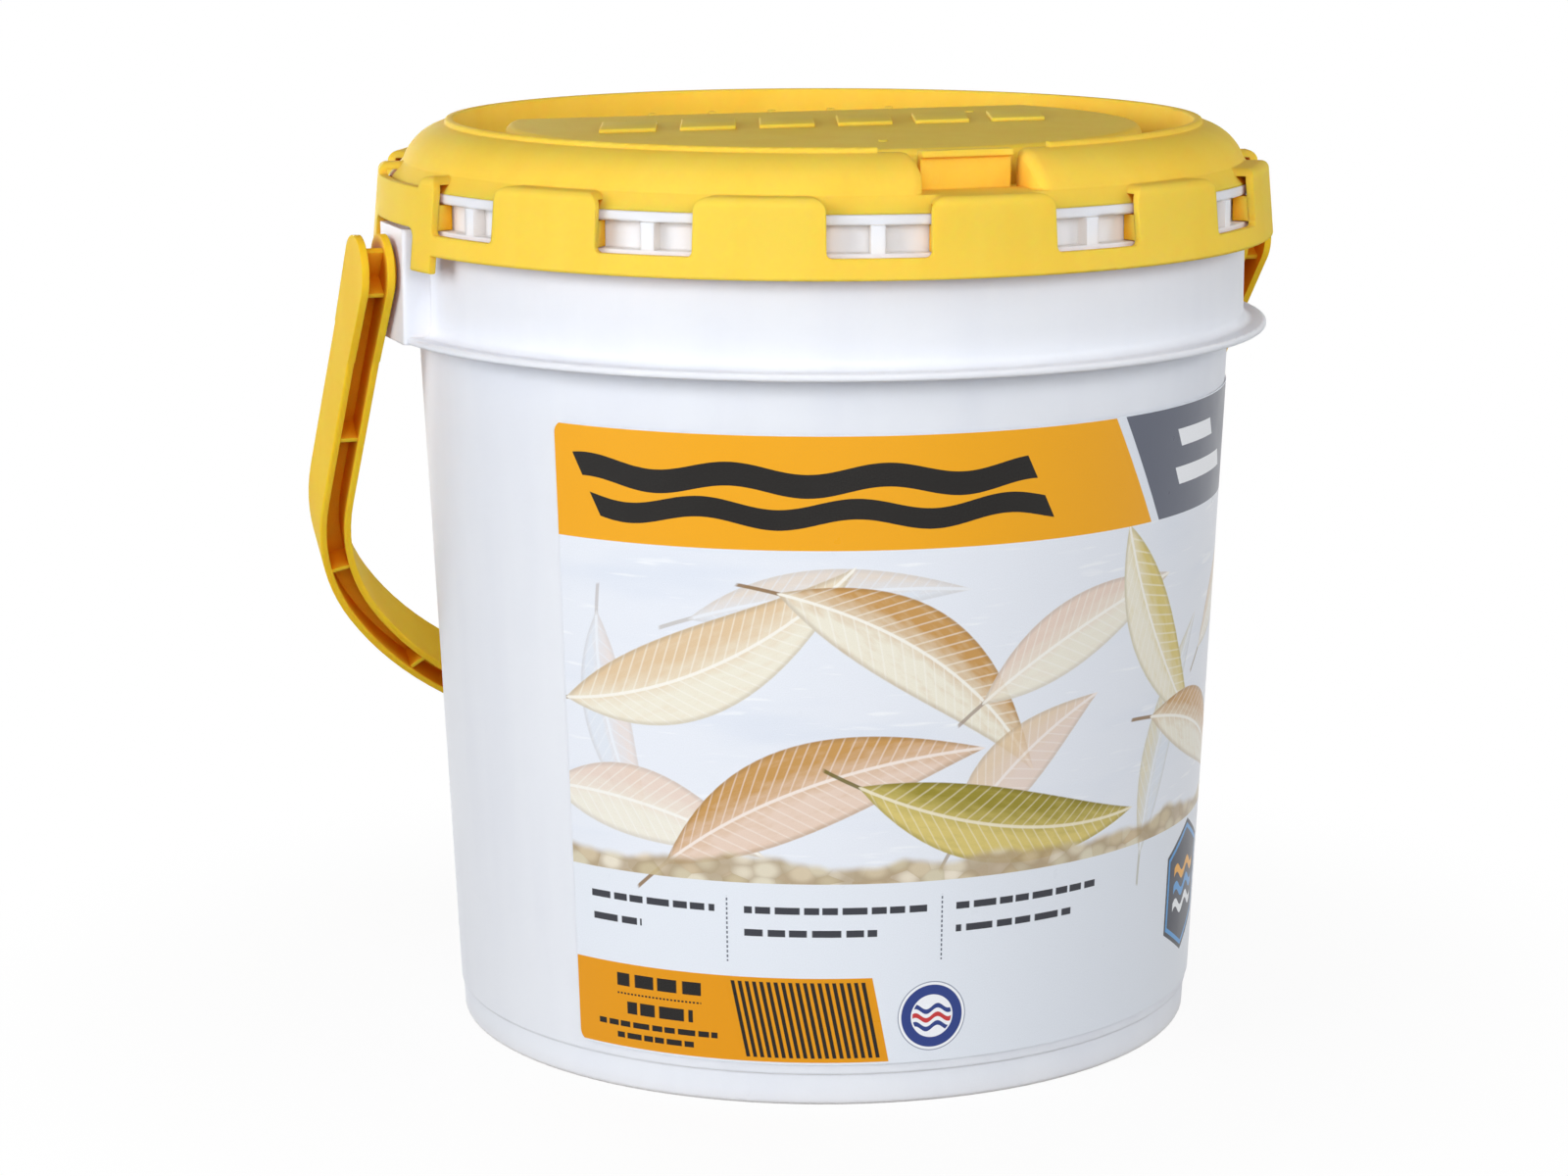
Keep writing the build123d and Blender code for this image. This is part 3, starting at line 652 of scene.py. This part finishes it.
def bead_end(bm, turn, side):
    """Adds the end of a bead at one side of the window that lies this way round."""
    block = bmesh.ops.create_cube(bm, size=1)["verts"]
    for vert in block:
        aside = window_half + (bead_length if vert.co.y * side > 0 else 0)
        radius = bead_outer if vert.co.x > 0 else bead_inner
        level = bead_high if vert.co.z > 0 else bead_low
        place = Vector((sqrt(radius**2 - aside**2), side * aside, level))
        vert.co = Matrix.Rotation(radians(turn), 4, "Z") @ place


beads = bmesh.new()
for turn in window_turns:
    for side in (-1, 1):
        bead_end(beads, turn, side)
        bead_end(beads, -turn, side)
finished("catch_beads", beads, lid_yellow, "lid")

# %% [markdown]
# ## Floor and light
# The bucket stands in a white studio. The floor is plain and pale near the bucket, where it
# takes the shadow, and fades to pure white for the camera further out. To other rays it is
# grey, so that it doesn't throw too much light up at the pail. Two broad panels stand low at
# the left and at the front, weaker ones at the right and behind, and the sky is dim and turns
# warm overhead. Low panels graze the lid's flat middle, so it stays darker than the walls.

# %% Floor
floor_sheet = bmesh.new()
bmesh.ops.create_grid(floor_sheet, x_segments=2, y_segments=2, size=6)
floor_mesh = bpy.data.meshes.new("studio_floor")
floor_sheet.to_mesh(floor_mesh)
floor_sheet.free()
floor = bpy.data.objects.new("studio_floor", floor_mesh)
bpy.context.scene.collection.objects.link(floor)

fade_start, fade_end, white_near = 110 * MM, 280 * MM, 0.92
ground = Paint("studio_floor_paint")
spot = ground.node("ShaderNodeTexCoord").outputs["Object"]
far = ground.node("ShaderNodeVectorMath", operation="LENGTH")
ground.feed(far.inputs[0], spot)
seen = ground.seen()
pale = ground.mix(ground.noise(spot, 3, 2), srgb(246, 247, 249), srgb(243, 244, 247))
ground.set(Base_Color=ground.mix(seen, srgb(106, 107, 110), pale), Roughness=0.9)
glow = ground.node("ShaderNodeEmission")
ground.feed(glow.inputs["Color"], (1, 1, 1, 1))
white_share = ground.ramp(far.outputs["Value"], fade_start, fade_end, white_near, 1.0)
share = ground.maths("MULTIPLY", seen, white_share)
fade = ground.node("ShaderNodeMixShader")
ground.feed_all(fade.inputs, (share, ground.shader.outputs[0], glow.outputs[0]))
ground.feed(ground.output.inputs["Surface"], fade.outputs[0])
floor_mesh.materials.append(ground.material)

# %% World
world = bpy.data.worlds.new("studio")
bpy.context.scene.world = world
world.use_nodes = True
cool, warm, sky_strength = (0.93, 0.96, 1.0, 1), (0.9, 0.64, 0.34, 1), 0.16
sky = Net(world.node_tree)
_, _, height = sky.parts(sky.node("ShaderNodeTexCoord").outputs["Generated"])
dim = sky.node("ShaderNodeBackground")
sky.feed_all(dim.inputs, (sky.mix(sky.ramp(height, 0.3, 0.9), cool, warm), sky_strength))
bright = sky.node("ShaderNodeBackground")
sky.feed_all(bright.inputs, ((1, 1, 1, 1), 1.0))
choice = sky.node("ShaderNodeMixShader")
sky.feed_all(choice.inputs, (sky.seen(), dim.outputs[0], bright.outputs[0]))
sky.feed(sky.node("ShaderNodeOutputWorld").inputs["Surface"], choice.outputs[0])
print("sky strength", sky_strength)


# %% Lamps
aim = Vector((0, 0, 0.13))


def panel(name, place, width, height, watts):
    """A broad lamp that faces the bucket's middle."""
    lamp = bpy.data.lights.new(name, "AREA")
    lamp.shape = "RECTANGLE"
    lamp.size, lamp.size_y, lamp.energy = width, height, watts
    holder = bpy.data.objects.new(name, lamp)
    way = aim - Vector(place)
    holder.location = place
    holder.rotation_euler = way.to_track_quat("-Z", "Y").to_euler()
    bpy.context.scene.collection.objects.link(holder)
    print(name, watts, "W at", round(way.length, 2), "m")


panel("left_panel", (-1.95, -0.55, 0.66), 1.2, 1.0, 25)
panel("front_panel", (-0.55, -1.95, 0.72), 1.4, 1.0, 25)
panel("right_panel", (1.6, -1.1, 0.7), 1.2, 1.0, 14)
panel("back_panel", (-0.25, 2.0, 0.4), 1.5, 0.8, 17)

# %% [markdown]
# ## Camera
# The camera stands a little over a metre away, turned 20.5 degrees from the lid's clip and
# looking down by 11.3 degrees, with a long lens. A small sideways shift puts the bucket
# where the photograph has it, without turning the camera.

# %% Camera
camera_turn, camera_tilt = 20.5, 11.28
lens = bpy.data.cameras.new("front_camera")
lens.lens, lens.sensor_width = 90.8, 36
lens.shift_x = -0.0251
camera = bpy.data.objects.new("front_camera", lens)
camera.location = (-0.3848, -1.0291, 0.3377)
camera.rotation_euler = (radians(90 - camera_tilt), 0, radians(-camera_turn))
bpy.context.scene.collection.objects.link(camera)
bpy.context.scene.camera = camera
bpy.context.scene.view_settings.view_transform = "Standard"
